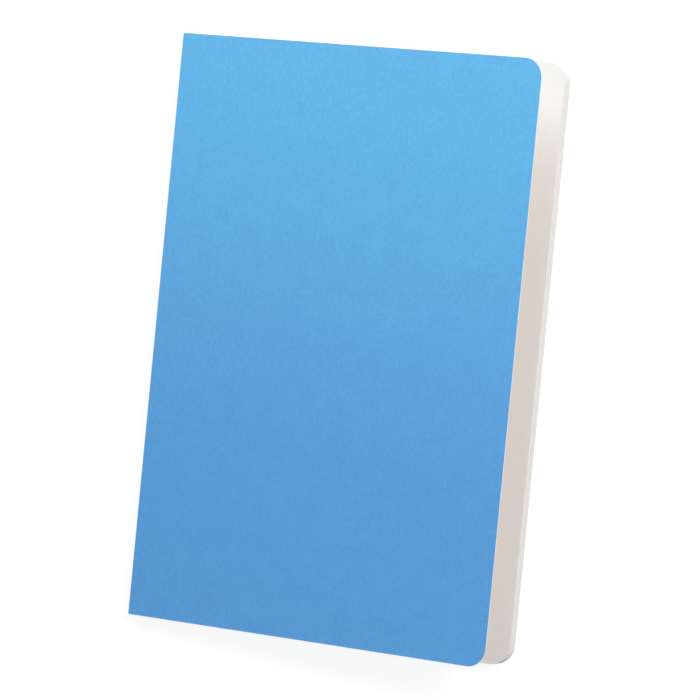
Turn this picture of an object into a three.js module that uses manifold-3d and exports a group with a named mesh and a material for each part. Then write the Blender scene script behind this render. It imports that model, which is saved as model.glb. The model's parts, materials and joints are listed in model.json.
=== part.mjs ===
// Soft-cover notebook in A5: a creased card cover round three folded and sewn sections of blank paper.
// It lies on its back cover, with the front cover standing a little open.
// Millimetres. X runs from the spine to the fore-edge, Y from tail to head, Z up from the back cover.

import * as THREE from 'three';
import { mergeVertices } from 'three/addons/utils/BufferGeometryUtils.js';
import Module from 'manifold-3d';

// Driving dimensions

const width = 148; // outer face of the spine to the fore-edge
const height = 210; // tail to head
const cornerRadius = 7; // fore-edge corners, cut through cover and pages together
const openAngle = THREE.MathUtils.degToRad(7.3); // how far the front cover stands open

const cardThickness = 0.3; // cover card
const paperThickness = 0.09; // one leaf
const leafGap = 0.01; // air between neighbouring leaves
const sheetsPerSection = 8; // folded sheets, so twice as many leaves
const sectionNames = ['back', 'middle', 'front']; // from the back cover up

const threadDiameter = 0.3; // linen thread
const threadRoom = 0.08; // between the thread and the innermost fold round it
const threadBend = 0.3; // radius at which the thread turns into a needle hole
const needleHoles = 6; // holes along a fold
const stitchLength = 30; // from one needle hole to the next
const threadTail = 6; // loose end past the last hole, caught under the cloth
const holeMargin = 0.04; // needle hole past the thread, towards each leaf

const clothThickness = 0.15; // lining glued over the sewn folds
const clothInset = 10; // cloth stops short of head and tail
const seatGap = 0.02; // clearance between the layers of the spine
const pressedGap = 0.008; // air between neighbouring sheets where the fold is pressed
const foldTaper = 2.5; // past the fold, where the bulge round the thread closes up

const coverBlue = 0x5fa6dc;
const paperWhite = 0xf4efe8;
const threadWhite = 0xf2efe6;
const clothWhite = 0xe9e6dc;

// Facets of round stretches, and how far a cutting shape runs past what it cuts

const cornerFacets = 4; // for each eighth of a turn of a rounded corner
const foldFacets = 3; // for each quarter of a fold
const taperFacets = 4;
const bendFacets = 3; // for each turn of the thread
const threadHalfSides = 3; // for each half of the way round the thread
const overrun = 1;

// Levels and places that follow from them

const leafPitch = paperThickness + leafGap;
const halfSection = sheetsPerSection * leafPitch;
const sectionThickness = 2 * halfSection;
const blockThickness = sectionNames.length * sectionThickness;
const blockBottom = cardThickness + seatGap;
const blockTop = blockBottom + blockThickness;
const thickness = blockTop + seatGap + cardThickness;
const middle = thickness / 2;

const clothPlace = cardThickness + seatGap;
const threadOutside = clothPlace + clothThickness + seatGap + threadDiameter / 2;
const foldBack = threadOutside + threadDiameter / 2 + seatGap;
const foldOuterRadius = halfSection - leafGap / 2;
const foldInnerRadius = threadDiameter / 2 + threadRoom;
const foldPitch = (foldOuterRadius + pressedGap - foldInnerRadius) / sheetsPerSection;
const foldCentre = foldBack + foldOuterRadius;
const sectionMiddle = (index) => blockBottom + (index + 0.5) * sectionThickness;

// Solids

const manifold = await Module();
manifold.setup();

function solidOf(geometry) {
  geometry.deleteAttribute('normal');
  geometry.deleteAttribute('uv');
  const welded = mergeVertices(geometry);
  return new manifold.Manifold(new manifold.Mesh({
    numProp: 3,
    vertProperties: Float32Array.from(welded.attributes.position.array),
    triVerts: Uint32Array.from(welded.index.array),
  }));
}

function geometryOf(solid) {
  const { vertProperties, triVerts } = solid.getMesh();
  const geometry = new THREE.BufferGeometry();
  geometry.setAttribute('position', new THREE.BufferAttribute(vertProperties, 3));
  geometry.setIndex(new THREE.BufferAttribute(triVerts, 1));
  geometry.computeVertexNormals();
  return geometry;
}

// An outline drawn in X and Z, run along Y and centred on it.
function runAlongSpine(outline, length) {
  const geometry = new THREE.ExtrudeGeometry(new THREE.Shape(outline), { depth: length, bevelEnabled: false });
  geometry.rotateX(Math.PI / 2);
  geometry.translate(0, length / 2, 0);
  return geometry;
}

// The trimmed page seen from above, with square corners at the spine, as a column through the whole notebook.
function trimColumn() {
  const plan = new THREE.Shape();
  const side = height / 2;
  plan.moveTo(-overrun, -side);
  plan.lineTo(width - cornerRadius, -side);
  plan.absarc(width - cornerRadius, cornerRadius - side, cornerRadius, -Math.PI / 2, 0);
  plan.lineTo(width, side - cornerRadius);
  plan.absarc(width - cornerRadius, side - cornerRadius, cornerRadius, 0, Math.PI / 2);
  plan.lineTo(-overrun, side);
  const geometry = new THREE.ExtrudeGeometry(plan, {
    depth: 2 * (thickness + overrun),
    bevelEnabled: false,
    curveSegments: cornerFacets,
  });
  geometry.translate(0, 0, -thickness - overrun);
  return solidOf(geometry);
}

const trim = trimColumn();

function trimmed(outline) {
  return solidOf(runAlongSpine(outline, height + 2 * overrun)).intersect(trim);
}

// Cover card: panels with mitred ends that meet on the fold lines of its outer face.

function coverPanel() {
  const reach = width + overrun;
  const outline = [
    new THREE.Vector2(0, 0),
    new THREE.Vector2(reach, 0),
    new THREE.Vector2(reach, cardThickness),
    new THREE.Vector2(cardThickness, cardThickness),
  ];
  return geometryOf(trimmed(outline));
}

function halfSpinePanel() {
  const top = middle - leafGap / 2;
  const outline = [
    new THREE.Vector2(0, seatGap),
    new THREE.Vector2(cardThickness, cardThickness + seatGap),
    new THREE.Vector2(cardThickness, top),
    new THREE.Vector2(0, top),
  ];
  return runAlongSpine(outline, height);
}

function halfSpineCloth() {
  const top = middle - leafGap / 2;
  const outline = [
    new THREE.Vector2(clothPlace, blockBottom),
    new THREE.Vector2(clothPlace + clothThickness, blockBottom),
    new THREE.Vector2(clothPlace + clothThickness, top),
    new THREE.Vector2(clothPlace, top),
  ];
  return runAlongSpine(outline, height - 2 * clothInset);
}

// Sheets: each lies round the one inside it. A face of a sheet runs from the fore-edge to the fold,
// spreads to clear the thread, and goes round a quarter turn to the back of the section.
// Sheet 1 is the outermost, and heights are counted from the middle of the section.

function sheetFace(leafHeight, foldRadius, foldLift) {
  const points = [new THREE.Vector2(width + overrun, leafHeight)];
  for (let step = taperFacets; step > 0; step -= 1) {
    const share = step / taperFacets;
    const rise = THREE.MathUtils.lerp(foldRadius, leafHeight, THREE.MathUtils.smoothstep(share, 0, 1));
    points.push(new THREE.Vector2(foldCentre + share * foldTaper, rise));
  }
  const turn = foldRadius - foldLift;
  for (let step = 0; step <= foldFacets; step += 1) {
    const angle = (step / foldFacets) * (Math.PI / 2);
    points.push(new THREE.Vector2(foldCentre - turn * Math.sin(angle), foldLift + turn * Math.cos(angle)));
  }
  return points;
}

function sheetFaces(sheet, foldLift) {
  const inside = sheetsPerSection - sheet;
  const leafHeight = leafGap / 2 + inside * leafPitch;
  const foldRadius = foldInnerRadius + inside * foldPitch;
  return {
    inner: sheetFace(leafHeight, foldRadius, foldLift),
    outer: sheetFace(leafHeight + paperThickness, foldRadius + foldPitch - pressedGap, foldLift),
  };
}

const mirrored = (points) => points.map((point) => new THREE.Vector2(point.x, -point.y)).reverse();

function needleHoleSlots() {
  const depth = foldCentre - foldBack + overrun;
  const length = threadDiameter + threadBend;
  const slot = new THREE.BoxGeometry(depth, length, threadDiameter + 2 * holeMargin);
  slot.translate(foldCentre - depth / 2, 0, 0);
  return holePlaces().map((place) => solidOf(slot.clone().translate(0, place, 0)));
}

function holePlaces() {
  const first = -((needleHoles - 1) / 2) * stitchLength;
  return Array.from({ length: needleHoles }, (_, index) => first + index * stitchLength);
}

function sewn(outline) {
  const cut = needleHoleSlots().reduce((solid, slot) => solid.subtract(slot), trimmed(outline));
  return geometryOf(cut);
}

function foldedSheet(sheet) {
  const { inner, outer } = sheetFaces(sheet, 0);
  const outsideWay = [...outer, ...mirrored(outer).slice(1)];
  const insideWay = [...inner, ...mirrored(inner).slice(1)].reverse();
  return sewn([...outsideWay, ...insideWay]);
}

function singleLeaf(sheet) {
  const { inner, outer } = sheetFaces(sheet, leafGap / 2);
  return sewn([...outer, ...inner.reverse()]);
}

// Sewing thread: outside the fold and inside it by turns, through one needle hole after another.

class CornerPath extends THREE.Curve {
  constructor(corners) {
    super();
    this.corners = corners;
  }

  // The corner nearest to a share of the way, so that the sections of a tube stand on the corners.
  getPointAt(share, target = new THREE.Vector3()) {
    return target.copy(this.corners[Math.round(share * (this.corners.length - 1))]);
  }

  getTangentAt(share, target = new THREE.Vector3()) {
    const last = this.corners.length - 1;
    const index = Math.round(share * last);
    const here = this.corners[index];
    const from = here.clone().sub(this.corners[Math.max(index - 1, 0)]).normalize();
    const to = this.corners[Math.min(index + 1, last)].clone().sub(here).normalize();
    return target.addVectors(from, to).normalize();
  }
}

// The two turns of the thread at a needle hole, from one side of the fold to the other.
function turnsThroughHole(place, start, end) {
  const way = Math.sign(end - start);
  const angles = Array.from({ length: bendFacets + 1 }, (_, step) => (step / bendFacets) * (Math.PI / 2));
  const entering = angles.map((angle) => new THREE.Vector3(
    start + way * threadBend * (1 - Math.cos(angle)),
    place - threadBend * (1 - Math.sin(angle)),
    0,
  ));
  const leaving = angles.map((angle) => new THREE.Vector3(
    end - way * threadBend * (1 - Math.sin(angle)),
    place + threadBend * (1 - Math.cos(angle)),
    0,
  ));
  return [...entering, ...leaving];
}

function sewingThread() {
  const places = holePlaces();
  const corners = [new THREE.Vector3(threadOutside, places[0] - threadTail, 0)];
  let start = threadOutside;
  let end = foldCentre;
  for (const place of places) {
    corners.push(...turnsThroughHole(place, start, end));
    [start, end] = [end, start];
  }
  corners.push(new THREE.Vector3(start, places[places.length - 1] + threadTail, 0));
  const section = new THREE.Shape().absarc(0, 0, threadDiameter / 2, 0, 2 * Math.PI);
  return new THREE.ExtrudeGeometry(section, {
    steps: corners.length - 1,
    curveSegments: threadHalfSides,
    extrudePath: new CornerPath(corners),
  });
}

// The finished pieces

const material = (color, roughness) => new THREE.MeshStandardMaterial({ color, roughness, metalness: 0 });

function piece(name, geometry, color, roughness) {
  const mesh = new THREE.Mesh(geometry, material(color, roughness));
  mesh.name = name;
  return mesh;
}

const card = (name, geometry) => piece(name, geometry, coverBlue, 0.62);
const paper = (name, geometry) => piece(name, geometry, paperWhite, 0.9);
const cloth = (name, geometry) => piece(name, geometry, clothWhite, 0.95);
const thread = (name, geometry) => piece(name, geometry, threadWhite, 0.8);

// Turns a piece upside down, spine still at the same side, about a level.
function flipped(mesh, level) {
  mesh.rotation.x = Math.PI;
  mesh.position.z = level;
  return mesh;
}

function section(name, index, sheetShapes) {
  const group = new THREE.Group();
  group.position.z = sectionMiddle(index);
  group.add(thread(`${name}_section_thread`, sewingThread()));
  sheetShapes.forEach((shape, place) => group.add(paper(`${name}_section_sheet_${place + 1}`, shape)));
  return group;
}

// The section that the notebook opens through: every sheet is two leaves that meet at the fold.
function openingSection(name, index, leafShapes) {
  const group = new THREE.Group();
  group.position.z = sectionMiddle(index);
  group.add(thread(`${name}_section_thread`, sewingThread()));
  leafShapes.forEach((shape, place) => {
    group.add(paper(`${name}_section_front_leaf_${place + 1}`, shape));
    group.add(flipped(paper(`${name}_section_back_leaf_${place + 1}`, shape), 0));
  });
  return group;
}

function pageBlock() {
  const sheets = Array.from({ length: sheetsPerSection }, (_, index) => index + 1);
  const sheetShapes = sheets.map(foldedSheet);
  const leafShapes = sheets.map(singleLeaf);
  const group = new THREE.Group();
  const opening = (sectionNames.length - 1) / 2;
  sectionNames.forEach((name, index) => {
    group.add(index === opening ? openingSection(name, index, leafShapes) : section(name, index, sheetShapes));
  });
  return group;
}

function cover() {
  const group = new THREE.Group();
  group.add(card('back_cover', coverPanel()));
  group.add(card('spine_panel_back', halfSpinePanel()));
  group.add(flipped(card('spine_panel_front', halfSpinePanel()), thickness));
  group.add(cloth('spine_cloth_back', halfSpineCloth()));
  group.add(flipped(cloth('spine_cloth_front', halfSpineCloth()), thickness));

  // The front cover turns on the front edge of the spine.
  const hinge = new THREE.Group();
  hinge.position.z = thickness;
  hinge.rotation.y = -openAngle;
  hinge.add(flipped(card('front_cover', coverPanel()), 0));
  group.add(hinge);
  return group;
}

const notebook = new THREE.Group();
notebook.add(cover(), pageBlock());
notebook.position.x = -width / 2;

export default notebook;
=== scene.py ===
"""Looks, light and camera for a soft-cover notebook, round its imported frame.

Metres, in the frame of the part: X from the spine to the fore-edge, Y from the tail to the head,
Z up from the back cover. The notebook lies on its back cover, with the front cover a little open.
"""

import json
import logging
import math
from dataclasses import dataclass
from enum import Enum
from typing import Callable, Iterable

import bmesh
import bpy
from mathutils import Matrix, Vector


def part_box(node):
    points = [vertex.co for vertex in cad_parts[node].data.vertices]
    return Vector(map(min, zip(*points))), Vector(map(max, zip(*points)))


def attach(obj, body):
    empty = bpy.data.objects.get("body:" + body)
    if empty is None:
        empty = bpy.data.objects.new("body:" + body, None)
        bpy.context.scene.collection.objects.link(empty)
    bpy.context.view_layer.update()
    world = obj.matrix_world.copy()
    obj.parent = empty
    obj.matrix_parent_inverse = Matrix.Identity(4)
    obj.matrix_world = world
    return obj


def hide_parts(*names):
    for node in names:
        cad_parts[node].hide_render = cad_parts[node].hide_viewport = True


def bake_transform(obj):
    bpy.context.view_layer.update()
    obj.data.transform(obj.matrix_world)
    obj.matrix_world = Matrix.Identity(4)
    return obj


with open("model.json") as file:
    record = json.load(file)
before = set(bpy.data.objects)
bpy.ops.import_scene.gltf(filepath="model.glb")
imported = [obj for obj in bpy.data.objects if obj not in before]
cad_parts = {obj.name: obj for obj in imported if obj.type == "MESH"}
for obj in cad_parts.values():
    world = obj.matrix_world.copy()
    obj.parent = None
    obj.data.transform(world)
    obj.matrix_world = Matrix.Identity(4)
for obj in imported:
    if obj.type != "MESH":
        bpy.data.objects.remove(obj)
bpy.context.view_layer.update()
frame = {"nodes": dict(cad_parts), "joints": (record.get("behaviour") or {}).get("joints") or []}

MM = 0.001

log = logging.getLogger("notebook")


# Shared sizes and names


def joint_place(name: str) -> Vector:
    """Finds where a joint's axis stands.

    Args:
        name: The joint's name in the record.

    Returns:
        The point on its axis, in metres.
    """
    joint = next(joint for joint in frame["joints"] if joint["name"] == name)
    return Vector(joint["pos_m"])


FRONT_CREASE = joint_place("front_cover_crease")
MIDDLE_FOLD = joint_place("middle_opening")
BACK_CREASE = joint_place("back_cover_crease")
BACK_COVER_LOW, BACK_COVER_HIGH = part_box("back_cover")
WIDTH = BACK_COVER_HIGH.x - BACK_COVER_LOW.x
HEIGHT = BACK_COVER_HIGH.y - BACK_COVER_LOW.y
CARD = BACK_COVER_HIGH.z - BACK_COVER_LOW.z
CORNER_RADIUS = 7 * MM
CORNER_STEPS = 24  # flats of a rounded corner at the fore-edge
SPINE = BACK_CREASE.x
SPINE_INSIDE = SPINE + CARD
BEND_REACH = 0.35 * MM  # how far a fold's bend runs to each side of it
BEND_CUTS = 4  # lines that the sheet bends on, to each side of a fold
SHARP_ANGLE = math.radians(35)  # edges over this stay sharp to look at
SAME_PLACE = 0.001 * MM  # points nearer than this to a cut count as on it
UP = Vector((0, 0, 1))
TO_FORE_EDGE = Vector((1, 0, 0))
TO_HEAD = Vector((0, 1, 0))

Pair = tuple[float, float]
Triple = tuple[float, float, float]
Colour = Triple
Material = bpy.types.Material
Mesh = bmesh.types.BMesh
Node = bpy.types.Node
Piece = bpy.types.Object
Socket = bpy.types.NodeSocket


class Half(Enum):
    """The two halves that the block opens into, by the side of the middle fold that they lie on."""

    FRONT = 1
    BACK = -1

    @property
    def body(self) -> str:
        """The body that the half's pieces ride on."""
        return f"{self.name.lower()}_half"

    @property
    def cover(self) -> str:
        """The body of the half's cover, which is also its CAD node."""
        return f"{self.name.lower()}_cover"

    def leaf_body(self, place: int) -> str:
        """The body of one of the half's lifting leaves."""
        return f"{self.name.lower()}_leaf_{place}"

    def leaf_node(self, place: int) -> str:
        """The CAD node of one of the half's leaves in the middle section."""
        return f"middle_section_{self.name.lower()}_leaf_{place}"


class Pattern(Enum):
    """What a finish's pattern is laid out on."""

    OBJECT = "Object"
    SURFACE = "UV"


# Mesh helpers


def piece_from(
    mesh_of: Mesh, name: str, finishes: Iterable[Material], flat_over: float = math.inf
) -> Piece:
    """Turns a bmesh into a piece at the origin, smooth but for its sharp edges.

    Args:
        mesh_of: The finished bmesh, which is freed.
        name: The piece's name.
        finishes: The materials of its slots, in order.
        flat_over: Faces with more than this area, in square metres, are shaded flat.

    Returns:
        The new object.
    """
    mesh = bpy.data.meshes.new(name)
    mesh_of.to_mesh(mesh)
    mesh_of.free()
    mesh.set_sharp_from_angle(angle=SHARP_ANGLE)
    for face in mesh.polygons:
        face.use_smooth = face.area < flat_over
    for finish in finishes:
        mesh.materials.append(finish)
    piece = bpy.data.objects.new(name, mesh)
    bpy.context.scene.collection.objects.link(piece)
    log.info("piece %s: %d faces", name, len(mesh.polygons))
    return piece


def cut_across(mesh: Mesh, places: Iterable[Vector], normal: Vector) -> None:
    """Adds a loop of edges where each of a row of parallel planes crosses the mesh.

    Args:
        mesh: The mesh, changed in place.
        places: A point on each plane.
        normal: The direction that the planes face.
    """
    for place in places:
        everything = [*mesh.verts, *mesh.edges, *mesh.faces]
        bmesh.ops.bisect_plane(mesh, geom=everything, dist=SAME_PLACE, plane_co=place, plane_no=normal)


def bend_places(fold: Vector, across: Vector) -> list[Vector]:
    """Finds where a sheet gets the lines that it bends on.

    Args:
        fold: A point on the fold.
        across: The direction across it.

    Returns:
        A point for each line, from one side of the fold to the other.
    """
    steps = range(-BEND_CUTS, BEND_CUTS + 1)
    return [fold + across * (BEND_REACH * step / BEND_CUTS) for step in steps]


def prism(outline: list[Vector], length: float) -> Mesh:
    """Runs an outline along Y, centred on it.

    Args:
        outline: Its corners in X and Z, in order.
        length: How far it runs.

    Returns:
        The closed solid, with its faces outwards.
    """
    mesh = bmesh.new()
    corners = [mesh.verts.new((point.x, -length / 2, point.z)) for point in outline]
    face = mesh.faces.new(corners)
    grown = bmesh.ops.extrude_face_region(mesh, geom=[face])
    far = [part for part in grown["geom"] if isinstance(part, bmesh.types.BMVert)]
    bmesh.ops.translate(mesh, vec=(0, length, 0), verts=far)
    bmesh.ops.recalc_face_normals(mesh, faces=mesh.faces)
    return mesh


def upright_strip(low: Vector, high: Vector, length: float) -> Mesh:
    """Stands a strip of card or cloth along the spine.

    Args:
        low: Its lowest corner in X and Z.
        high: Its highest corner in X and Z.
        length: How far it runs along Y.

    Returns:
        The closed solid, with its faces outwards.
    """
    corners = ((low.x, low.z), (high.x, low.z), (high.x, high.z), (low.x, high.z))
    return prism([Vector((x, 0, z)) for x, z in corners], length)


def round_off(
    mesh: Mesh,
    corners: list[bmesh.types.BMEdge] | list[bmesh.types.BMVert],
    radius: float,
    steps: int,
    affect: str = "EDGES",
    slide: bool = False,
) -> None:
    """Rounds edges, or the corners of a flat sheet.

    Args:
        mesh: The mesh, changed in place.
        corners: The edges or corners.
        radius: How far from them the rounding starts.
        steps: How many flats it has.
        affect: EDGES or VERTICES, by what the corners are.
        slide: Whether the rounding runs on along edges that meet it.
    """
    bmesh.ops.bevel(
        mesh, geom=corners, offset=radius, offset_type="OFFSET", affect=affect,
        segments=steps, profile=0.5, material=-1, loop_slide=slide,
    )


def round_fore_edge(mesh: Mesh, far_edge: float) -> None:
    """Rounds the two corners at the fore-edge, through the whole thickness.

    Args:
        mesh: A flat panel, changed in place.
        far_edge: How far along X the fore-edge corners lie at least.
    """
    corners = [
        edge for edge in mesh.edges
        if all(vert.co.x > far_edge for vert in edge.verts)
        and abs(edge.verts[0].co.y - edge.verts[1].co.y) < CARD
    ]
    round_off(mesh, corners, CORNER_RADIUS, CORNER_STEPS)


def lay_pattern(mesh: Mesh, place_of: Callable[[Vector], Pair]) -> None:
    """Writes the UV map that patterns follow, in metres over the surface.

    Args:
        mesh: The mesh, changed in place.
        place_of: Gives a point's place across and along the piece.
    """
    layer = mesh.loops.layers.uv.new("surface")
    for face in mesh.faces:
        for loop in face.loops:
            loop[layer].uv = place_of(loop.vert.co)


# Finishes


@dataclass(frozen=True)
class Noise:
    """A soft random pattern: how fine it is, how much finer detail it holds, and its stretch."""

    scale: float
    detail: float = 2.0
    stretch: Triple | None = None


@dataclass(frozen=True)
class Relief:
    """How deep a pattern is pressed into a surface, and how strongly it shows."""

    depth: float
    strength: float


class NodeTree:
    """A node tree, with short calls that add nodes and fill their inputs."""

    def __init__(self, tree: bpy.types.NodeTree) -> None:
        """Takes the tree."""
        self.tree = tree

    def add(self, kind: str, **settings: object) -> Node:
        """Adds a node and sets its properties.

        Args:
            kind: The node's type.
            settings: The properties' values, by name.

        Returns:
            The new node.
        """
        node = self.tree.nodes.new(kind)
        for name, value in settings.items():
            setattr(node, name, value)
        return node

    def feed(self, node: Node, **sockets: object) -> Node:
        """Fills a node's inputs, named with _ for a space.

        Args:
            node: The node.
            sockets: For each input a value, or the output that it is linked to.

        Returns:
            The same node.
        """
        for name, value in sockets.items():
            socket = node.inputs[name.replace("_", " ")]
            if isinstance(value, Socket):
                self.tree.links.new(value, socket)
            else:
                socket.default_value = value
        return node

    def join(self, node: Node, *values: Socket) -> Node:
        """Links outputs to a node's first inputs, in order.

        Args:
            node: The node.
            values: The outputs.

        Returns:
            The same node.
        """
        for value, socket in zip(values, node.inputs):
            self.tree.links.new(value, socket)
        return node


class NodeBoard(NodeTree):
    """A material's nodes, with short calls for what the finishes share."""

    noise_reach: Pair = (0.25, 0.75)  # nearly all of a noise's values
    wave_phase: float = 20.0  # what a wave texture multiplies a place by

    def __init__(self, name: str, pattern: Pattern) -> None:
        """Starts a material.

        Args:
            name: Its name.
            pattern: What its patterns are laid out on.
        """
        self.material = bpy.data.materials.new(name)
        self.material.use_nodes = True
        super().__init__(self.material.node_tree)
        self.surface = self.tree.nodes["Principled BSDF"]
        self.place = self.add("ShaderNodeTexCoord").outputs[pattern.value]

    def stretched(self, scale: Triple) -> Socket:
        """The pattern's coordinates, scaled differently along each axis."""
        mapping = self.add("ShaderNodeMapping", vector_type="POINT")
        return self.feed(mapping, Vector=self.place, Scale=scale).outputs["Vector"]

    def noise(self, pattern: Noise) -> Socket:
        """Adds soft noise.

        Args:
            pattern: Its scale, detail and stretch.

        Returns:
            The output that holds its value, from 0 to 1.
        """
        place = self.stretched(pattern.stretch) if pattern.stretch else self.place
        node = self.add("ShaderNodeTexNoise", noise_dimensions="3D")
        self.feed(node, Vector=place, Scale=pattern.scale, Detail=pattern.detail)
        return node.outputs["Fac"]

    def bands(self, pitch: float, direction: str, waver: float) -> Socket:
        """Adds rounded bands.

        Args:
            pitch: From one band to the next.
            direction: The axis that they cross, or DIAGONAL.
            waver: How far they stray from straight.

        Returns:
            The output that holds their value, from 0 to 1.
        """
        node = self.add("ShaderNodeTexWave", wave_type="BANDS", wave_profile="SIN")
        node.bands_direction = direction
        per_unit = 2 * math.pi / (self.wave_phase * pitch)
        self.feed(node, Vector=self.place, Scale=per_unit, Distortion=waver, Detail=1.0)
        return node.outputs["Fac"]

    def ranged(
        self, value: Socket, source: Pair, target: Pair = (0.0, 1.0), course: str = "LINEAR"
    ) -> Socket:
        """Carries a value from one range to another, and holds it at the ends.

        Args:
            value: The output that holds the value.
            source: The range that it comes from.
            target: The range that it is carried to.
            course: How it runs between the ends, as a Map Range node names it.

        Returns:
            The output that holds the new value.
        """
        node = self.add("ShaderNodeMapRange", clamp=True, interpolation_type=course)
        self.feed(node, Value=value, From_Min=source[0], From_Max=source[1])
        self.feed(node, To_Min=target[0], To_Max=target[1])
        return node.outputs["Result"]

    def from_tail_to_head(self, painted_light_fade: Pair) -> Socket:
        """Rises gently from 0 to 1 between two places along Y; the cover's painted light follows it."""
        split = self.feed(self.add("ShaderNodeSeparateXYZ"), Vector=self.place)
        return self.ranged(split.outputs["Y"], painted_light_fade, course="SMOOTHSTEP")

    def between(self, share: Socket, low: Colour, high: Colour) -> Socket:
        """Mixes two colours.

        Args:
            share: The output that holds how far the mix lies from the first to the second.
            low: The first colour.
            high: The second colour.

        Returns:
            The output that holds the mix.
        """
        node = self.feed(self.add("ShaderNodeMix", data_type="RGBA", blend_type="MIX"), Factor=share)
        colours = [socket for socket in node.inputs if socket.type == "RGBA"]
        colours[0].default_value = (*low, 1.0)
        colours[1].default_value = (*high, 1.0)
        return next(socket for socket in node.outputs if socket.type == "RGBA")

    def shaded(self, colour: Socket, value: Socket, by: float) -> Socket:
        """Makes a colour lighter and darker with noise, alike in all channels.

        Args:
            colour: The output that holds the colour.
            value: The noise.
            by: The largest share that it adds or takes.

        Returns:
            The output that holds the new colour.
        """
        share = self.ranged(value, self.noise_reach, (1.0 - by, 1.0 + by))
        node = self.add("ShaderNodeVectorMath", operation="SCALE")
        return self.feed(node, Vector=colour, Scale=share).outputs["Vector"]

    def mottled(self, colour: Socket, value: Socket, by: Colour) -> Socket:
        """Makes a colour lighter and darker with noise, in each channel by its own share.

        Args:
            colour: The output that holds the colour.
            value: The noise.
            by: The largest share that it adds or takes, for each channel.

        Returns:
            The output that holds the new colour.
        """
        low, high = (tuple(1.0 + sign * share for share in by) for sign in (-1, 1))
        share = self.between(self.ranged(value, self.noise_reach), low, high)
        node = self.add("ShaderNodeVectorMath", operation="MULTIPLY")
        return self.join(node, colour, share).outputs["Vector"]

    def coat(self, colour: Socket, roughness: float, gloss: float) -> None:
        """Gives the surface its colour, with one roughness and one gloss all over."""
        self.feed(self.surface, Base_Color=colour, Roughness=roughness, Specular_IOR_Level=gloss)

    def press(self, height: Socket, relief: Relief) -> None:
        """Presses a pattern into the surface as bump.

        Args:
            height: The output that holds the pattern.
            relief: How deep and how strong it is.
        """
        node = self.add("ShaderNodeBump")
        self.feed(node, Height=height, Distance=relief.depth, Strength=relief.strength)
        self.feed(self.surface, Normal=node.outputs["Normal"])


@dataclass(frozen=True)
class Finish:
    """What all finishes have: a roughness, a gloss and a relief that hold all over."""

    name: str
    roughness: float
    gloss: float
    relief: Relief

    def lay_out(self, board: NodeBoard) -> tuple[Socket, Socket]:
        """Lays out the patterns, each finish in its own way.

        Args:
            board: The material's nodes.

        Returns:
            The colour's output and the relief's.
        """
        raise NotImplementedError

    def material(self, pattern: Pattern) -> Material:
        """Builds the material.

        Args:
            pattern: What its patterns are laid out on.

        Returns:
            The new material.
        """
        board = NodeBoard(self.name, pattern)
        colour, height = self.lay_out(board)
        board.coat(colour, self.roughness, self.gloss)
        board.press(height, self.relief)
        return board.material


@dataclass(frozen=True)
class BlueCard(Finish):
    """The card's outside: faintly mottled matt blue, with painted light that lightens it towards the
    head.
    """

    name: str = "blue_card"
    roughness: float = 0.62
    gloss: float = 0.3
    relief: Relief = Relief(0.012 * MM, 0.5)
    # Painted light: head is lighter and more cyan than tail, for the lamps' falloff from the head; the
    # card's blue is even.
    head: Colour = (0.143, 0.492, 0.808)
    tail: Colour = (0.121, 0.384, 0.757)
    painted_light_fade: Pair = (-0.3 * HEIGHT, 0.5 * HEIGHT)
    blotches: Noise = Noise(130, 3.0)
    blotch: Colour = (0.030, 0.038, 0.018)
    streaks: Noise = Noise(800, 3.0, (1.0, 0.7, 1.0))
    streak: Colour = (0.068, 0.086, 0.034)
    grains: Noise = Noise(2200)
    grain: Colour = (0.085, 0.100, 0.042)
    tooth: Noise = Noise(2400, 3.0)

    def lay_out(self, board: NodeBoard) -> tuple[Socket, Socket]:
        """Lays out the painted light from tail to head, the mottling, and a tooth for the relief.

        Args:
            board: The material's nodes.

        Returns:
            The colour's output and the relief's.
        """
        # Painted light: the blue blends from the darker tail colour to the lighter head colour.
        colour = board.between(board.from_tail_to_head(self.painted_light_fade), self.tail, self.head)
        colour = board.mottled(colour, board.noise(self.blotches), self.blotch)
        colour = board.mottled(colour, board.noise(self.streaks), self.streak)
        colour = board.mottled(colour, board.noise(self.grains), self.grain)
        return colour, board.noise(self.tooth)


@dataclass(frozen=True)
class FibreSheet(Finish):
    """Unprinted board or paper: a little cloudy, with a fine fibre that also stands up from it."""

    colour: Colour
    cloudy: Colour
    clouds: Noise
    fibres: Noise
    fibre: float

    def lay_out(self, board: NodeBoard) -> tuple[Socket, Socket]:
        """Lays out the clouds and the fibres.

        Args:
            board: The material's nodes.

        Returns:
            The colour's output and the relief's.
        """
        fibres = board.noise(self.fibres)
        colour = board.between(board.noise(self.clouds), self.colour, self.cloudy)
        return board.shaded(colour, fibres, self.fibre), fibres


@dataclass(frozen=True)
class WhiteCard(FibreSheet):
    """The card's unprinted inside and its cut edges."""

    name: str = "white_card"
    roughness: float = 0.85
    gloss: float = 0.2
    relief: Relief = Relief(0.015 * MM, 0.5)
    colour: Colour = (0.87, 0.845, 0.815)
    cloudy: Colour = (0.85695, 0.832325, 0.802775)
    clouds: Noise = Noise(120)
    fibres: Noise = Noise(1500, 4.0, (1.0, 0.35, 1.0))
    fibre: float = 0.018


@dataclass(frozen=True)
class WritingPaper(FibreSheet):
    """Uncoated off-white writing paper."""

    name: str = "writing_paper_surface"
    roughness: float = 0.92
    gloss: float = 0.15
    relief: Relief = Relief(0.012 * MM, 0.6)
    colour: Colour = (0.878, 0.833, 0.800)
    cloudy: Colour = (0.866, 0.820, 0.782)
    clouds: Noise = Noise(260, 3.0)
    fibres: Noise = Noise(1900, 4.0, (1.0, 0.45, 1.0))
    fibre: float = 0.014


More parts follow.
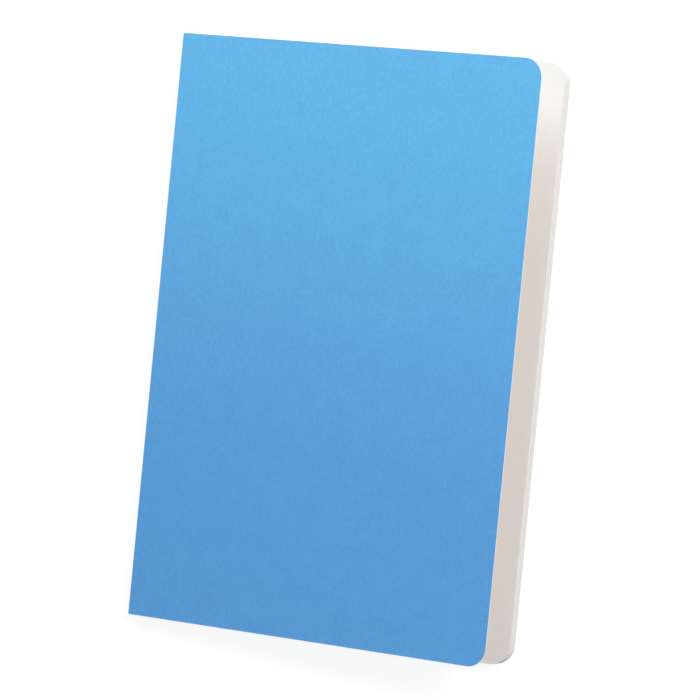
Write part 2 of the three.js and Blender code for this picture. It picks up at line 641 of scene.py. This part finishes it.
@dataclass(frozen=True)
class BandedFinish(Finish):
    """Yarn or plies: rounded bands, darker in the hollows between them as painted shade, and a fuzz."""

    crest: Colour
    # painted shade: the darker colour that the hollows between the bands get
    painted_shade_hollow: Colour
    pitch: float
    directions: tuple[str, ...]
    waver: float
    fuzz: Noise
    fuzz_share: float

    def lay_out(self, board: NodeBoard) -> tuple[Socket, Socket]:
        """Lays out the bands, the highest on top where they cross.

        Args:
            board: The material's nodes.

        Returns:
            The colour's output and the relief's.
        """
        height, *others = (board.bands(self.pitch, way, self.waver) for way in self.directions)
        for other in others:
            crossing = board.add("ShaderNodeMath", operation="MAXIMUM")
            height = board.join(crossing, height, other).outputs["Value"]
        # Painted shade: the colour darkens from crest to hollow as the bands' height falls.
        colour = board.between(height, self.painted_shade_hollow, self.crest)
        return board.shaded(colour, board.noise(self.fuzz), self.fuzz_share), height


@dataclass(frozen=True)
class LinenThread(BandedFinish):
    """Natural white linen thread of three twisted plies."""

    name: str = "linen_thread_surface"
    roughness: float = 0.8
    gloss: float = 0.25
    relief: Relief = Relief(0.03 * MM, 0.7)
    crest: Colour = (0.870, 0.845, 0.775)
    # painted shade in the hollows between the plies
    painted_shade_hollow: Colour = (0.700, 0.670, 0.590)
    pitch: float = 0.45 * MM
    directions: tuple[str, ...] = ("DIAGONAL",)
    waver: float = 0.6
    fuzz: Noise = Noise(2600, 3.0)
    fuzz_share: float = 0.04


@dataclass(frozen=True)
class LiningCloth(BandedFinish):
    """Open-weave lining cloth, stiff with glue."""

    name: str = "lining_cloth"
    roughness: float = 0.95
    gloss: float = 0.1
    relief: Relief = Relief(0.05 * MM, 0.8)
    crest: Colour = (0.815, 0.791, 0.716)
    # painted shade in the hollows of the weave
    painted_shade_hollow: Colour = (0.560, 0.530, 0.455)
    pitch: float = 0.6 * MM
    directions: tuple[str, ...] = ("X", "Y")
    waver: float = 0.4
    fuzz: Noise = Noise(1400, 3.0)
    fuzz_share: float = 0.05


# The cover card


@dataclass
class CoverCard:
    """The creased cover card, as three lengths of one sheet.

    Each length spans one fold and is cut across with lines to bend on there: the front panel with the
    upper quarter of the spine, the middle of the spine, and the back panel with the lower quarter. They
    meet flush on the flat of the spine.
    Each facing is the least share of a face's normal that counts as facing that way.
    """

    skin: Material
    board: Material
    open_angle: float = math.radians(7.3)
    crease_round: float = 0.12 * MM
    crease_steps: int = 4
    crease_near: float = 0.1 * CARD
    edge_round: float = 0.08 * MM
    edge_steps: int = 2
    rim_angle: float = math.radians(60)
    rim_start: float = 3 * CARD
    rim_shortest: float = 2 * CARD / 3
    end_facing: float = 0.1
    fore_edge_facing: float = 0.9
    cut_facing: float = 0.15
    skin_facing: float = 0.6
    flat_over: float = 0.14 * MM * HEIGHT

    def spine_level(self, quarters: int) -> float:
        """The height of a quarter line of the spine."""
        return BACK_CREASE.z + (FRONT_CREASE.z - BACK_CREASE.z) * quarters / 4

    def along_rim(self, edge: bmesh.types.BMEdge) -> bool:
        """Tells whether an edge is one of the two corners of the card's cut rim.

        Args:
            edge: An edge of a panel.

        Returns:
            Whether it runs along the head, the tail or the fore-edge, clear of the spine.
        """
        if len(edge.link_faces) != 2:
            return False
        straight_end = HEIGHT / 2 - CORNER_RADIUS - CARD
        return (
            edge.calc_face_angle() > self.rim_angle
            and edge.calc_length() > self.rim_shortest
            and any(
                abs(face.normal.y) > self.end_facing or face.normal.x > self.fore_edge_facing
                for face in edge.link_faces
            )
            and all(vert.co.x > SPINE + self.rim_start for vert in edge.verts)
            and all(abs(vert.co.y) > straight_end or vert.co.x > 0 for vert in edge.verts)
        )

    def soften(self, mesh: Mesh, crease: Vector) -> None:
        """Rounds the crease on the outside, and the cut edges of the panel.

        Args:
            mesh: A panel with its stretch of spine, changed in place.
            crease: A point on the crease's outer corner.
        """
        fold = [
            edge for edge in mesh.edges
            if all((vert.co - crease).xz.length < self.crease_near for vert in edge.verts)
        ]
        round_off(mesh, fold, self.crease_round, self.crease_steps)
        rim = [edge for edge in mesh.edges if self.along_rim(edge)]
        round_off(mesh, rim, self.edge_round, self.edge_steps, slide=True)

    def paint(self, mesh: Mesh, outside: Iterable[Vector]) -> None:
        """Gives the outside the printed skin, and the inside and the cut rim the bare board.

        Args:
            mesh: The mesh, changed in place.
            outside: The directions that the card's outside faces.
        """
        ways = list(outside)
        for face in mesh.faces:
            on_rim = face.normal.x > self.cut_facing or abs(face.normal.y) > self.cut_facing
            outwards = any(face.normal.dot(way) > self.skin_facing for way in ways)
            face.material_index = 0 if outwards and not on_rim else 1

    def panel(
        self, half: Half, crease: Vector, reach: Vector, towards_pages: Vector, spine_end: float
    ) -> Piece:
        """Makes a panel of the cover with its quarter of the spine.

        Args:
            half: The half of the block that it covers.
            crease: The crease's outer corner.
            reach: The direction from the crease to the fore-edge.
            towards_pages: The direction square to the panel, from outside to inside.
            spine_end: The height at which its stretch of spine ends.

        Returns:
            The piece, shaped round its crease and cut across it with bend lines.
        """
        spine_way = UP * math.copysign(1.0, spine_end - crease.z)
        along = (CARD - CARD * towards_pages.x) / reach.x
        outline = [
            crease,
            crease + reach * WIDTH,
            crease + reach * WIDTH + towards_pages * CARD,
            crease + towards_pages * CARD + reach * along,
            Vector((SPINE_INSIDE, 0, spine_end)),
            Vector((SPINE, 0, spine_end)),
        ]
        mesh = prism(outline, HEIGHT)
        round_fore_edge(mesh, SPINE + WIDTH - CORNER_RADIUS)
        self.soften(mesh, crease)
        across = (reach - spine_way).normalized()
        cut_across(mesh, bend_places(crease, across), across)
        bmesh.ops.recalc_face_normals(mesh, faces=mesh.faces)
        self.paint(mesh, [-towards_pages, -TO_FORE_EDGE])

        def place_of(point: Vector) -> Pair:
            """A point's place from the crease, over the panel or down the spine, and along Y."""
            offset = point - crease
            return (offset.dot(reach) if offset.dot(across) > 0 else -abs(offset.z), point.y)

        lay_pattern(mesh, place_of)
        piece = piece_from(mesh, f"{half.cover}_card", [self.skin, self.board], self.flat_over)
        half.body
        half.cover
        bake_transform(piece)
        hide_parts(half.cover)
        return piece

    def spine(self) -> Piece:
        """Makes the middle half of the spine.

        Returns:
            The piece, cut across with bend lines at the spine's centre line.
        """
        low = Vector((SPINE, 0, self.spine_level(1)))
        high = Vector((SPINE_INSIDE, 0, self.spine_level(3)))
        mesh = upright_strip(low, high, HEIGHT)
        cut_across(mesh, bend_places(MIDDLE_FOLD, UP), UP)
        self.paint(mesh, [-TO_FORE_EDGE])
        lay_pattern(mesh, lambda point: (point.z - FRONT_CREASE.z, point.y))
        piece = piece_from(mesh, "spine_card", [self.skin, self.board])
        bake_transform(piece)
        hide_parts("spine_panel_front", "spine_panel_back")
        return piece

    def build(self) -> list[Piece]:
        """Makes the whole card, with its front panel open by the angle.

        Returns:
            The front panel, the middle half of the spine and the back panel.
        """
        reach = Vector((math.cos(self.open_angle), 0, math.sin(self.open_angle)))
        towards_pages = Vector((reach.z, 0, -reach.x))
        return [
            self.panel(Half.FRONT, FRONT_CREASE, reach, towards_pages, self.spine_level(3)),
            self.spine(),
            self.panel(Half.BACK, BACK_CREASE, TO_FORE_EDGE, UP, self.spine_level(1)),
        ]


# The spine lining


@dataclass
class SpineLining:
    """The strip of lining cloth inside the spine, with bend lines where the spine folds."""

    cloth: Material

    def build(self) -> list[Piece]:
        """Makes the strip in the place of the two CAD halves.

        Returns:
            The piece.
        """
        low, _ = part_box("spine_cloth_back")
        _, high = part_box("spine_cloth_front")
        mesh = upright_strip(low, high, high.y - low.y)
        cut_across(mesh, bend_places(MIDDLE_FOLD, UP), UP)
        lay_pattern(mesh, lambda point: (point.z, point.y))
        piece = piece_from(mesh, "lining_cloth_strip", [self.cloth])
        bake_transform(piece)
        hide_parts("spine_cloth_front", "spine_cloth_back")
        return [piece]


# The section that the notebook opens through


@dataclass
class OpeningSection:
    """The middle section: eight nested sheets, each with its fold.

    Each sheet is a front leaf, a back leaf and the fold between them. Sheet 1 is the outermost.
    The innermost three leaves of each half get the lines that a curve from the gutter would bend them on,
    and stand on their own. The front half's leaves end a hair short of the fore-edge, more so towards the
    middle, and the ledge draws a line there.
    """

    paper: Material
    sheets: int = 8
    paper_thickness: float = 0.09 * MM
    leaf_gap: float = 0.01 * MM
    fold_centre: float = SPINE + 1.605 * MM
    fold_inner_radius: float = 0.23 * MM
    fold_outer_radius: float = 0.795 * MM
    pressed_gap: float = 0.008 * MM
    fold_taper: float = 2.5 * MM
    needle_holes: int = 6
    stitch_length: float = 30 * MM
    hole_length: float = 0.6 * MM
    hole_width: float = 0.38 * MM
    first_lifting: int = 6
    curve_start: float = 2.0 * MM
    curve_end: float = 46.0 * MM
    curve_cuts: int = 16
    drawn_back: float = 0.26 * MM
    taper_cuts: int = 6
    fold_steps: int = 14

    @property
    def fold_pitch(self) -> float:
        """From one sheet to the next at the fold, where they are pressed."""
        return (self.fold_outer_radius + self.pressed_gap - self.fold_inner_radius) / self.sheets

    @property
    def pressed_sheet(self) -> float:
        """How thick a sheet is at the fold, where it is pressed."""
        return self.fold_pitch - self.pressed_gap

    def hole_places(self) -> list[float]:
        """The needle holes' places along Y."""
        first = -((self.needle_holes - 1) / 2) * self.stitch_length
        return [first + index * self.stitch_length for index in range(self.needle_holes)]

    def face_height(self, x: float, flat: float, bulge: float) -> float:
        """The height of a leaf's face over the middle of the section.

        Args:
            x: Where, from the spine to the fore-edge.
            flat: Its height on the flat of the leaf.
            bulge: Its height at the fold.

        Returns:
            The height, in metres.
        """
        share = min(max((x - self.fold_centre) / self.fold_taper, 0.0), 1.0)
        eased = share * share * (3 - 2 * share)
        return bulge + (flat - bulge) * eased

    def curve_places(self, place: int) -> list[float]:
        """Finds where a leaf gets the lines that it curves on.

        Args:
            place: Its sheet, 1 for the outermost.

        Returns:
            Their places along X, near the fold and, on a leaf that lifts, out to the curve's end.
        """
        taper = [self.fold_taper * step / self.taper_cuts for step in range(1, self.taper_cuts + 1)]
        places = [self.fold_centre + way for way in taper]
        if place < self.first_lifting:
            return places
        reach = self.curve_end - self.curve_start
        steps = range(1, self.curve_cuts + 1)
        curve = [SPINE + self.curve_start + reach * step / self.curve_cuts for step in steps]
        clear = self.fold_centre + self.fold_taper + CARD
        return places + [x for x in curve if x > clear]

    def in_hole(self, face: bmesh.types.BMFace) -> bool:
        """Tells whether a face of a fold lies in a needle hole.

        Args:
            face: The face.

        Returns:
            Whether its middle lies in one of the holes.
        """
        middle = face.calc_center_median()
        if abs(middle.z - MIDDLE_FOLD.z) >= self.hole_width / 2:
            return False
        return any(abs(middle.y - hole) < self.hole_length / 2 for hole in self.hole_places())

    def leaf(self, half: Half, place: int) -> Piece:
        """Makes one leaf, from the edge of its fold to the fore-edge.

        Args:
            half: The half that it belongs to.
            place: Its sheet, 1 for the outermost.

        Returns:
            The piece, riding on its half, or standing on its own for a leaf that lifts.
        """
        inside = self.sheets - place
        flat = self.leaf_gap / 2 + inside * (self.paper_thickness + self.leaf_gap)
        bulge = self.fold_inner_radius + inside * self.fold_pitch
        back = self.drawn_back * (place / self.sheets) ** 2 if half is Half.FRONT else 0.0

        mesh = bmesh.new()
        bmesh.ops.create_grid(mesh, x_segments=1, y_segments=1, size=0.5)
        far = SPINE + WIDTH - back
        span = Matrix.Diagonal((far - self.fold_centre, HEIGHT, 1, 1))
        centre = Matrix.Translation(((far + self.fold_centre) / 2, 0, 0))
        bmesh.ops.transform(mesh, matrix=centre @ span, verts=mesh.verts)
        corners = [vert for vert in mesh.verts if vert.co.x > 0]
        round_off(mesh, corners, CORNER_RADIUS, CORNER_STEPS, affect="VERTICES")
        cuts = [Vector((x, 0, 0)) for x in self.curve_places(place)]
        cut_across(mesh, cuts, TO_FORE_EDGE)
        grown = bmesh.ops.extrude_face_region(mesh, geom=mesh.faces[:])
        upper = [part for part in grown["geom"] if isinstance(part, bmesh.types.BMVert)]
        bmesh.ops.translate(mesh, vec=(0, 0, self.paper_thickness), verts=upper)
        for vert in mesh.verts:
            outer = vert.co.z > self.paper_thickness / 2
            lift = self.face_height(
                vert.co.x,
                flat + (self.paper_thickness if outer else 0.0),
                bulge + (self.pressed_sheet if outer else 0.0),
            )
            vert.co.z = MIDDLE_FOLD.z + half.value * lift
        bmesh.ops.recalc_face_normals(mesh, faces=mesh.faces)
        lay_pattern(mesh, lambda point: (point.x, point.y))
        piece = piece_from(mesh, f"{half.name.lower()}_leaf_{place}_paper", [self.paper])
        if place >= self.first_lifting:
            half.body
            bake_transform(piece)
        else:
            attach(piece, half.body)
        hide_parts(half.leaf_node(place))
        return piece

    def fold(self, place: int) -> Piece:
        """Makes the fold of one sheet, with its needle holes.

        Args:
            place: Its sheet, 1 for the outermost.

        Returns:
            The piece, opening with the middle of the block.
        """
        radius = self.fold_inner_radius + (self.sheets - place) * self.fold_pitch
        centre = Vector((self.fold_centre, 0, MIDDLE_FOLD.z))
        mesh = bmesh.new()
        ends = [mesh.verts.new((centre.x, y, centre.z - radius)) for y in (-HEIGHT / 2, HEIGHT / 2)]
        edge = mesh.edges.new(ends)
        bmesh.ops.spin(
            mesh, geom=[*ends, edge], cent=centre, axis=(0, 1, 0), angle=math.pi,
            steps=self.fold_steps, use_merge=False, use_duplicate=False,
        )
        cuts = [
            Vector((0, hole + side * self.hole_length / 2, 0))
            for hole in self.hole_places() for side in (-1, 1)
        ]
        cut_across(mesh, cuts, TO_HEAD)
        pierced = [face for face in mesh.faces if self.in_hole(face)]
        bmesh.ops.delete(mesh, geom=pierced, context="FACES")
        bmesh.ops.recalc_face_normals(mesh, faces=mesh.faces)
        mesh.faces.ensure_lookup_table()
        first = mesh.faces[0]
        outwards = first.normal.dot(first.calc_center_median() * Vector((1, 0, 1)) - centre) > 0
        wall = -self.pressed_sheet if outwards else self.pressed_sheet
        bmesh.ops.solidify(mesh, geom=mesh.faces[:], thickness=wall)
        bmesh.ops.recalc_face_normals(mesh, faces=mesh.faces)
        lay_pattern(mesh, lambda point: (point.z, point.y))
        piece = piece_from(mesh, f"middle_fold_{place}_paper", [self.paper])
        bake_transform(piece)
        return piece

    def build(self) -> list[Piece]:
        """Makes the leaves and the folds of all the sheets.

        Returns:
            The pieces, from the outermost sheet to the innermost.
        """
        pieces = []
        for place in range(1, self.sheets + 1):
            pieces += [self.leaf(half, place) for half in Half]
            pieces.append(self.fold(place))
        return pieces


@dataclass
class GutterThread:
    """The sewing thread of the middle section: three twisted plies, in and out of the fold by turns."""

    linen: Material
    section: OpeningSection
    outside: float = SPINE + 0.64 * MM
    radius: float = 0.15 * MM
    plies: int = 3
    ply_hollow: float = 0.14
    blend_radii: int = 9
    bend: float = 0.3 * MM
    bend_steps: int = 5
    tail: float = 6 * MM
    sides: int = 12
    twist: float = 1.6 * MM
    step: float = 0.16 * MM

    def corners(self) -> list[Vector]:
        """Finds the corners of the thread's way.

        Returns:
            Their places in X and Y, from the tail to the head.
        """
        places = self.section.hole_places()
        way = [Vector((self.outside, places[0] - self.tail))]
        here, there = self.outside, self.section.fold_centre
        for place in places:
            side = math.copysign(1.0, there - here)
            angles = [math.pi / 2 * step / self.bend_steps for step in range(self.bend_steps + 1)]
            for angle in angles:
                across, along = self.bend * (1 - math.cos(angle)), self.bend * (1 - math.sin(angle))
                way.append(Vector((here + side * across, place - along)))
            for angle in angles:
                across, along = self.bend * (1 - math.sin(angle)), self.bend * (1 - math.cos(angle))
                way.append(Vector((there - side * across, place + along)))
            here, there = there, here
        way.append(Vector((here, places[-1] + self.tail)))
        return way

    def stations(self) -> list[Vector]:
        """Divides the way closely enough for the twist to show.

        Returns:
            Points along it, in X and Y.
        """
        corners = self.corners()
        points = [corners[0]]
        for start, end in zip(corners, corners[1:]):
            count = max(1, round((end - start).length / self.step))
            points += [start.lerp(end, index / count) for index in range(1, count + 1)]
        return points

    def frames(self) -> list[Matrix]:
        """Finds how each cross-section of the thread stands, square to its way and twisted.

        Returns:
            The matrix that puts a flat ring there, for each point of the way.
        """
        points = self.stations()
        frames = []
        for index, point in enumerate(points):
            before, after = points[max(index - 1, 0)], points[min(index + 1, len(points) - 1)]
            way = (after - before).normalized()
            turned = Matrix(((-way.y, 0, way.x), (way.x, 0, way.y), (0, 1, 0))).to_4x4()
            twisted = Matrix.Rotation(2 * math.pi * index * self.step / self.twist, 4, "Z")
            frames.append(Matrix.Translation((point.x, point.y, MIDDLE_FOLD.z)) @ turned @ twisted)
        return frames

    def build(self) -> list[Piece]:
        """Makes the thread along the middle of the gutter.

        Returns:
            The piece.
        """
        frames = self.frames()
        mesh = bmesh.new()
        ring = bmesh.ops.create_circle(mesh, segments=self.sides, radius=self.radius)["verts"]
        for vert in ring:
            angle = math.atan2(vert.co.y, vert.co.x)
            vert.co *= 1 - self.ply_hollow * (1 - math.cos(self.plies * angle)) / 2
        bmesh.ops.transform(mesh, matrix=frames[0], verts=ring)
        edges = mesh.edges[:]
        bmesh.ops.contextual_create(mesh, geom=edges)
        for before, after in zip(frames, frames[1:]):
            grown = bmesh.ops.extrude_edge_only(mesh, edges=edges)["geom"]
            ring = [part for part in grown if isinstance(part, bmesh.types.BMVert)]
            edges = [part for part in grown if isinstance(part, bmesh.types.BMEdge)]
            bmesh.ops.transform(mesh, matrix=after @ before.inverted(), verts=ring)
        bmesh.ops.contextual_create(mesh, geom=edges)
        bmesh.ops.recalc_face_normals(mesh, faces=mesh.faces)
        lay_pattern(mesh, lambda point: (point.x, point.y))
        piece = piece_from(mesh, "gutter_thread", [self.linen])
        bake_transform(piece)
        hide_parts("middle_section_thread")
        return [piece]


@dataclass
class SewnSections:
    """The front and back sections, whose CAD sheets and threads keep their shape and get their finish."""

    paper: Material
    linen: Material

    def build(self) -> list[Piece]:
        """Dresses every CAD node that shows as it is.

        Returns:
            The nodes' objects.
        """
        dressed = []
        for name, node in frame["nodes"].items():
            finish = self.linen if name.endswith("_thread") else self.paper
            if name.startswith(("front_section", "back_section")):
                node.data.materials.clear()
                node.data.materials.append(finish)
                dressed.append(node)
                log.info("dressed %s", name)
        return dressed


# Light, floor and camera


@dataclass(frozen=True)
class SoftLamp:
    """A large square lamp that faces the notebook."""

    name: str
    place: Triple
    size: float
    watts: float
    colour: Colour
    target: Triple = (0.0, 0.0, 0.0)

    def hang(self) -> None:
        """Hangs the lamp in its place."""
        light = bpy.data.lights.new(self.name, "AREA")
        light.shape = "SQUARE"
        light.size = self.size
        light.energy = self.watts
        light.color = self.colour
        lamp = bpy.data.objects.new(self.name, light)
        bpy.context.scene.collection.objects.link(lamp)
        place = Vector(self.place)
        turn = (Vector(self.target) - place).to_track_quat("-Z", "Y")
        lamp.matrix_world = Matrix.Translation(place) @ turn.to_matrix().to_4x4()


@dataclass
class Studio:
    """A plain pale floor, even light, and soft lamps beyond the head, high up and at the fore-edge."""

    floor_size: float = 6.0
    floor_drop: float = 0.02 * MM
    floor_bounce: float = 0.4
    floor_glow: float = 0.88
    floor_shade: float = 0.20
    ambient: Colour = (0.270, 0.290, 0.335)
    seen_colour: Colour = (1.0, 1.0, 1.0)
    head_lamp: SoftLamp = SoftLamp(
        name="head_lamp", place=(-0.10, 0.70, 0.40), size=0.40, watts=3.3, colour=(0.78, 1.0, 1.15)
    )
    high_lamp: SoftLamp = SoftLamp(
        name="high_lamp", place=(1.60, 1.00, 1.60), size=0.60, watts=32.8, colour=(1.105, 1.0, 0.905)
    )
    fore_edge_lamp: SoftLamp = SoftLamp(
        name="fore_edge_lamp", place=(0.80, 0.12, 0.22), size=0.30, watts=1.72, colour=(0.82, 1.0, 1.04)
    )

    def mix_by_sight(self, nodes: NodeTree, output: Node, lighting: Node, seen: Node) -> None:
        """Ends a tree with one shader for its light and one for what is seen, also by reflection.

        Args:
            nodes: The tree.
            output: Its output node.
            lighting: The shader that lights the object.
            seen: The shader that is seen.
        """
        mix = nodes.add("ShaderNodeMixShader")
        rays = nodes.add("ShaderNodeLightPath")
        share = rays.outputs["Is Camera Ray"]
        for name in ("Is Glossy Ray", "Is Transmission Ray"):
            either = nodes.add("ShaderNodeMath", operation="MAXIMUM")
            share = nodes.join(either, share, rays.outputs[name]).outputs["Value"]
        nodes.join(mix, share, lighting.outputs[0], seen.outputs[0])
        nodes.feed(output, Surface=mix.outputs["Shader"])

    def light_world(self) -> None:
        """Makes the world white to look at, and a plain even light on the object."""
        world = bpy.data.worlds.new("studio_world")
        bpy.context.scene.world = world
        world.use_nodes = True
        world.node_tree.nodes.clear()
        nodes = NodeTree(world.node_tree)
        output = nodes.add("ShaderNodeOutputWorld")
        lighting = nodes.feed(nodes.add("ShaderNodeBackground"), Color=(*self.ambient, 1.0))
        seen = nodes.feed(nodes.add("ShaderNodeBackground"), Color=(*self.seen_colour, 1.0))
        self.mix_by_sight(nodes, output, lighting, seen)

    def lay_floor(self) -> None:
        """Lays a floor that looks white and keeps the object's soft shadow."""
        mesh_of = bmesh.new()
        bmesh.ops.create_grid(mesh_of, x_segments=2, y_segments=2, size=self.floor_size / 2)
        bmesh.ops.translate(mesh_of, vec=(0, 0, -self.floor_drop), verts=mesh_of.verts)
        mesh = bpy.data.meshes.new("studio_floor")
        mesh_of.to_mesh(mesh)
        mesh_of.free()
        floor = bpy.data.objects.new("studio_floor", mesh)
        bpy.context.scene.collection.objects.link(floor)
        finish = bpy.data.materials.new("studio_floor")
        finish.use_nodes = True
        finish.node_tree.nodes.clear()
        nodes = NodeTree(finish.node_tree)
        output = nodes.add("ShaderNodeOutputMaterial")
        bounce, shade = (
            nodes.feed(nodes.add("ShaderNodeBsdfDiffuse"), Color=(grey, grey, grey, 1.0))
            for grey in (self.floor_bounce, self.floor_shade)
        )
        glow = nodes.feed(nodes.add("ShaderNodeEmission"), Strength=self.floor_glow)
        both = nodes.join(nodes.add("ShaderNodeAddShader"), shade.outputs[0], glow.outputs[0])
        self.mix_by_sight(nodes, output, bounce, both)
        mesh.materials.append(finish)

    def build(self) -> None:
        """Sets up the floor, the world and the lamps."""
        self.lay_floor()
        self.light_world()
        self.head_lamp.hang()
        self.high_lamp.hang()
        self.fore_edge_lamp.hang()


@dataclass
class PhotographView:
    """The camera at the photograph's angle: from the fore-edge side, high above the front cover."""

    target: Triple = (0.00059, -0.00192, 0.0)
    distance: float = 1.56461
    heading: float = math.radians(4.034)
    elevation: float = math.radians(66.077)
    roll: float = math.radians(5.53)
    lens: float = 227.35
    sensor: float = 36.0
    nearest: float = 0.01

    def build(self) -> None:
        """Sets up the camera, with the head of the notebook upwards in the picture."""
        backwards = Vector((
            math.cos(self.elevation) * math.cos(self.heading),
            math.cos(self.elevation) * math.sin(self.heading),
            math.sin(self.elevation),
        ))
        up = (TO_HEAD - backwards * TO_HEAD.dot(backwards)).normalized()
        right = up.cross(backwards)
        upright = Matrix((right, up, backwards)).transposed().to_4x4()
        lens = bpy.data.cameras.new("photograph_camera")
        lens.lens = self.lens
        lens.sensor_width = self.sensor
        lens.clip_start = self.nearest
        camera = bpy.data.objects.new("photograph_camera", lens)
        bpy.context.scene.collection.objects.link(camera)
        place = Matrix.Translation(Vector(self.target) + backwards * self.distance)
        camera.matrix_world = place @ upright @ Matrix.Rotation(self.roll, 4, "Z")
        bpy.context.scene.camera = camera


def main() -> None:
    """Builds the pieces in order, lights them, sets the camera and logs how many pieces each part makes.
    """
    logging.basicConfig(level=logging.INFO, format="%(name)s: %(message)s")
    PhotographView().build()
    section = OpeningSection(paper=WritingPaper().material(Pattern.SURFACE))
    parts = [
        CoverCard(skin=BlueCard().material(Pattern.SURFACE), board=WhiteCard().material(Pattern.SURFACE)),
        SpineLining(cloth=LiningCloth().material(Pattern.SURFACE)),
        section,
        GutterThread(linen=LinenThread().material(Pattern.SURFACE), section=section),
        SewnSections(
            paper=WritingPaper(name="writing_paper_object").material(Pattern.OBJECT),
            linen=LinenThread(name="linen_thread_object").material(Pattern.OBJECT),
        ),
    ]
    for part in parts:
        log.info("%s: %d pieces", type(part).__name__, len(part.build()))
    Studio().build()
    bpy.context.scene.view_settings.view_transform = "Standard"


if __name__ == "__main__":
    main()
